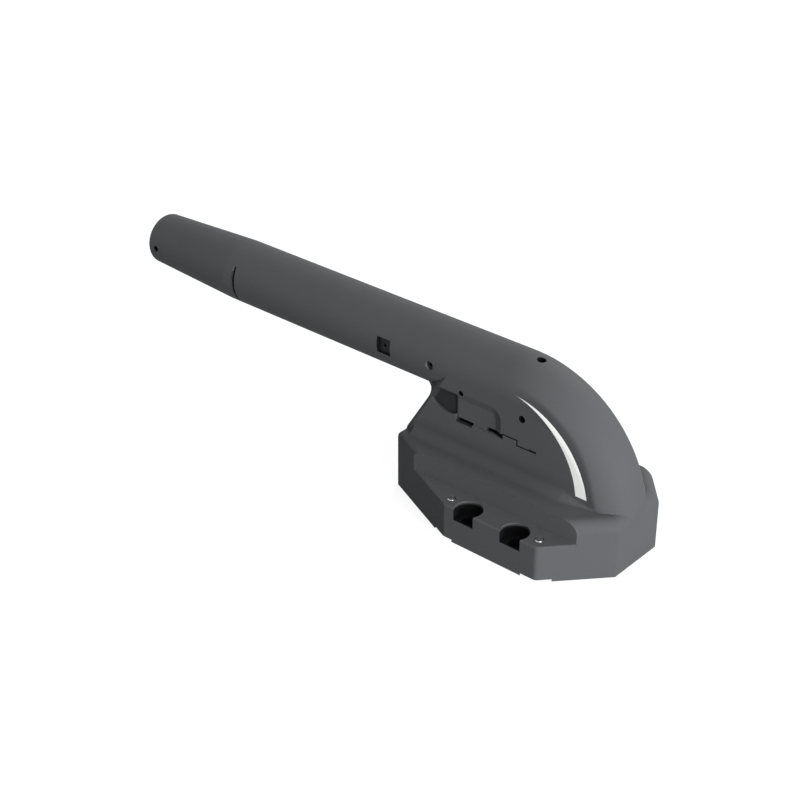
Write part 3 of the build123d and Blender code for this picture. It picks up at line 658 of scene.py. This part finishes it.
class AIRSPEED_OT_fittings(Operator):
    """Finish what shows in the skin: static plates, set screws, pins and base screws"""

    bl_idname = "airspeed.fittings"
    bl_label = "Fittings"

    def execute(self, context):
        blackened = machined(
            "Blackened steel",
            colour=(0.017, 0.018, 0.019),
            roughness=0.5,
            marks=(2500.0, 2500.0, 9000.0),
            depth=0.5,
        )
        dress(blackened, "port_static_plate", "starboard_static_plate")
        oxidised = machined(
            "Oxidised steel",
            colour=(0.050, 0.050, 0.053),
            roughness=0.6,
            marks=(3000.0, 9000.0, 3000.0),
            depth=0.4,
        )
        dress(oxidised, "set_screws")
        # The pins are coloured near black as painted shade for the dark holes they sit in
        painted_shade_steel = machined(
            "Browned steel",
            colour=(0.010, 0.010, 0.011),
            roughness=0.45,
            marks=(9000.0, 400.0, 9000.0),
            depth=0.3,
        )
        dress(painted_shade_steel, "plug_pin", "housing_pin")
        bright = machined(
            "Bright steel",
            colour=(0.62, 0.61, 0.60),
            roughness=0.28,
            marks=(6000.0, 6000.0, 6000.0),
            depth=0.3,
        )
        dress(bright, "base_screws", "board_screws")
        return {"FINISHED"}


class AIRSPEED_OT_pressure_parts(Operator):
    """Finish the plugs, rings, tubes and hoses inside the probe and the fin"""

    bl_idname = "airspeed.pressure_parts"
    bl_label = "Pressure parts"

    def execute(self, context):
        turned = machined(
            "Turned aluminium",
            colour=(0.60, 0.61, 0.62),
            roughness=0.32,
            marks=(12000.0, 300.0, 300.0),
            depth=0.35,
        )
        dress(turned, "front_plug", "rear_plug")
        drawn = machined(
            "Drawn steel tube",
            colour=(0.62, 0.61, 0.60),
            roughness=0.25,
            marks=(300.0, 9000.0, 9000.0),
            depth=0.25,
        )
        dress(drawn, "total_pressure_tube", "static_pressure_tube")
        rubber = moulded(
            "Ring rubber", colour=(0.022, 0.022, 0.022), roughness=0.65, fineness=4000.0, mottle=0.2
        )
        dress(rubber, "front_plug_ring", "rear_plug_ring", "base_seal")
        silicone = moulded(
            "Hose silicone", colour=(0.70, 0.70, 0.68), roughness=0.45, fineness=1500.0, mottle=0.06
        )
        dress(silicone, "total_pressure_hose", "static_pressure_hose")
        return {"FINISHED"}


class AIRSPEED_OT_base(Operator):
    """Finish the base plate"""

    bl_idname = "airspeed.base"
    bl_label = "Base plate"

    def execute(self, context):
        plate = moulded(
            "Base plate plastic",
            colour=(0.070, 0.072, 0.075),
            roughness=0.6,
            fineness=3000.0,
            mottle=0.12,
            height=COARSE_RELIEF,
        )
        dress(plate, "base_plate")
        return {"FINISHED"}


class AIRSPEED_OT_board(Operator):
    """Finish the circuit board and what it carries"""

    bl_idname = "airspeed.board"
    bl_label = "Circuit board"

    def execute(self, context):
        lacquer = moulded(
            "Board lacquer", colour=(0.02, 0.13, 0.06), roughness=0.35, fineness=900.0, mottle=0.2
        )
        dress(lacquer, "sensor_board")
        ivory = moulded(
            "Sensor body plastic", colour=(0.72, 0.71, 0.66), roughness=0.5, fineness=2500.0, mottle=0.06
        )
        dress(ivory, "pressure_sensor", "data_connector")
        epoxy = moulded(
            "Chip epoxy", colour=(0.022, 0.022, 0.024), roughness=0.55, fineness=5000.0, mottle=0.2
        )
        dress(epoxy, "processor", "barometer", "voltage_regulator")
        ceramic = moulded(
            "Capacitor ceramic", colour=(0.42, 0.30, 0.18), roughness=0.4, fineness=3000.0, mottle=0.15
        )
        dress(ceramic, "board_capacitors")
        brass = machined(
            "Brass",
            colour=(0.75, 0.58, 0.26),
            roughness=0.3,
            marks=(300.0, 300.0, 9000.0),
            depth=0.3,
        )
        dress(brass, "board_inserts", "connector_contacts")
        return {"FINISHED"}


def soft_lamp(name, place, size, power):
    """Large square lamp that faces the object."""
    lamp = bpy.data.lights.new(name, "AREA")
    lamp.shape = "SQUARE"
    lamp.size = size
    lamp.energy = power
    holder = bpy.data.objects.new(name, lamp)
    bpy.context.scene.collection.objects.link(holder)
    holder.location = place
    way = Vector(LAMP_TARGET) - Vector(place)
    holder.rotation_euler = way.to_track_quat("-Z", "Y").to_euler()


def seen_straight(tree):
    """One for what the camera sees, in mirrors and through glass too, and zero for light on the object."""
    rays = tree.nodes.new("ShaderNodeLightPath").outputs
    return combine(
        tree, "MAXIMUM", rays["Is Camera Ray"], rays["Is Glossy Ray"], rays["Is Transmission Ray"]
    )


def floor_material(settings):
    """Pale floor that shows the shadow and is otherwise white to the camera."""
    material, tree, shader, place = new_material("Pale floor")
    values = {"Coordinates": place, "Fineness": FLOOR_GRAIN, "Mottle": FLOOR_MOTTLE}
    grain = add_node(tree, "ShaderNodeGroup", values, node_tree=moulded_grain())
    colour = tinted(tree, settings.floor_colour, grain.outputs["Tone"])
    tree.links.new(colour, shader.inputs["Base Color"])
    shader.inputs["Roughness"].default_value = 1.0
    shader.inputs["Specular IOR Level"].default_value = 0.0
    shader.inputs["Emission Color"].default_value = (1.0, 1.0, 1.0, 1.0)
    glow = combine(tree, "MULTIPLY", seen_straight(tree), settings.floor_white)
    tree.links.new(glow, shader.inputs["Emission Strength"])
    return material


def white_world(settings):
    """Even sky light, which the camera and reflections see as white."""
    world = bpy.data.worlds.new("Studio")
    world.use_nodes = True
    tree = world.node_tree
    tree.nodes.clear()
    white = combine(tree, "MULTIPLY", seen_straight(tree), 1.0 - settings.sky)
    level = {"Color": (1.0, 1.0, 1.0, 1.0), "Strength": combine(tree, "ADD", white, settings.sky)}
    background = add_node(tree, "ShaderNodeBackground", level)
    output = tree.nodes.new("ShaderNodeOutputWorld")
    tree.links.new(background.outputs[0], output.inputs["Surface"])
    bpy.context.scene.world = world


class AIRSPEED_OT_stage(Operator):
    """Lay the floor, hang the lamps and place the camera"""

    bl_idname = "airspeed.stage"
    bl_label = "Stage"

    def execute(self, context):
        scene = context.scene
        settings = scene.airspeed_stage
        shape = bmesh.new()
        bmesh.ops.create_circle(shape, cap_ends=True, segments=FLOOR_SEGMENTS, radius=FLOOR_RADIUS)
        mesh = bpy.data.meshes.new("floor")
        shape.to_mesh(mesh)
        shape.free()
        floor = bpy.data.objects.new("floor", mesh)
        scene.collection.objects.link(floor)
        mesh.materials.append(floor_material(settings))

        for name, place, size, power in LAMPS:
            soft_lamp(name, place, size, getattr(settings, power))
        white_world(settings)

        lens = bpy.data.cameras.new("camera")
        lens.sensor_width = SENSOR_WIDTH
        lens.lens = settings.lens_length
        lens.clip_start = NEAR_CLIP
        camera = bpy.data.objects.new("camera", lens)
        scene.collection.objects.link(camera)
        camera.location = CAMERA_PLACE
        camera.rotation_euler = (-Vector(CAMERA_BACK)).to_track_quat("-Z", "Y").to_euler()
        scene.camera = camera
        scene.view_settings.view_transform = "Standard"
        return {"FINISHED"}


STEPS = (
    AIRSPEED_OT_housings,
    AIRSPEED_OT_fittings,
    AIRSPEED_OT_pressure_parts,
    AIRSPEED_OT_base,
    AIRSPEED_OT_board,
    AIRSPEED_OT_stage,
)


class AIRSPEED_PT_panel(Panel):
    """Lists the finishing steps"""

    bl_idname = "AIRSPEED_PT_panel"
    bl_label = "Airspeed head"
    bl_space_type = "VIEW_3D"
    bl_region_type = "UI"
    bl_category = "Airspeed head"

    def draw(self, context):
        for step in STEPS:
            self.layout.operator(step.bl_idname)


CLASSES = (HousingFinish, StageSettings, *STEPS, AIRSPEED_PT_panel)


def register():
    for item in CLASSES:
        bpy.utils.register_class(item)
    bpy.types.Scene.airspeed_housing = PointerProperty(type=HousingFinish)
    bpy.types.Scene.airspeed_stage = PointerProperty(type=StageSettings)


def unregister():
    del bpy.types.Scene.airspeed_stage
    del bpy.types.Scene.airspeed_housing
    for item in reversed(CLASSES):
        bpy.utils.unregister_class(item)


def main():
    register()
    bpy.ops.airspeed.housings()
    bpy.ops.airspeed.fittings()
    bpy.ops.airspeed.pressure_parts()
    bpy.ops.airspeed.base()
    bpy.ops.airspeed.board()
    bpy.ops.airspeed.stage()


if __name__ == "__main__":
    main()
